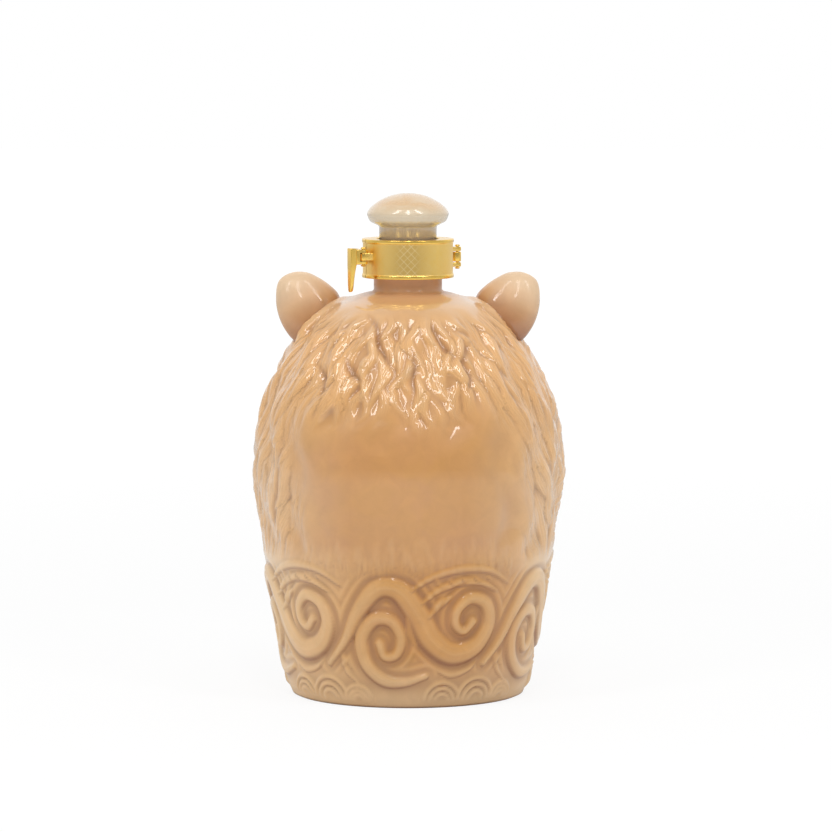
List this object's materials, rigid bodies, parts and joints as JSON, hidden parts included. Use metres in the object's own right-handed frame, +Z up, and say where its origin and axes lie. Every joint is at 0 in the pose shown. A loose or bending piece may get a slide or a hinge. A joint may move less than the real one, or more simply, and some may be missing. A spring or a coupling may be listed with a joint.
{
  "type": "spirit bottle",
  "caption": "Glazed ceramic spirit bottle moulded as a lion's head, with ears, a corked mushroom knob stopper and a hinged metal neck collar with a latch lever.",
  "frame": {"origin": "centre of the foot, on the surface the bottle stands on, under the neck's axis", "axes": "+Z up along the neck; +Y the way the lion's face looks; the collar's hinge is at +X and its latch at -X"},
  "size_m": [0.1215, 0.12, 0.1955],
  "materials": {
    "glazed_tan": "glossy clear glaze over tan and brown airbrushed colour",
    "glazed_ivory": "glossy ivory glaze",
    "natural_cork": "matt natural cork",
    "collar_brass": "gold-coloured, polished rims and finely engraved band",
    "rivet_brass": "polished"
  },
  "bodies": {
    "bottle": {"bottle_body": "glazed_tan", "collar_rear_half": "collar_brass", "hinge_pin": "rivet_brass", "latch_pin": "rivet_brass"},
    "stopper": {"stopper_knob": "glazed_ivory", "stopper_cork": "natural_cork"},
    "collar_gate": {"collar_front_half": "collar_brass"},
    "latch": {"latch_lever": "collar_brass"}
  },
  "joints": [
    {"name": "stopper_lift", "type": "slide", "parent": "bottle", "child": "stopper", "axis": [0, 0, 1], "range_m": [0, 0.03]},
    {"name": "collar_open", "type": "hinge", "parent": "bottle", "child": "collar_gate", "pos_m": [0.01933, 0.00821, 0.17025], "axis": [0, 0, -1], "range_deg": [0, 100]},
    {"name": "latch_swing", "type": "hinge", "parent": "bottle", "child": "latch", "pos_m": [-0.01727, -0.01102, 0.17125], "axis": [0, 0, 1], "range_deg": [0, 90]}
  ]
}
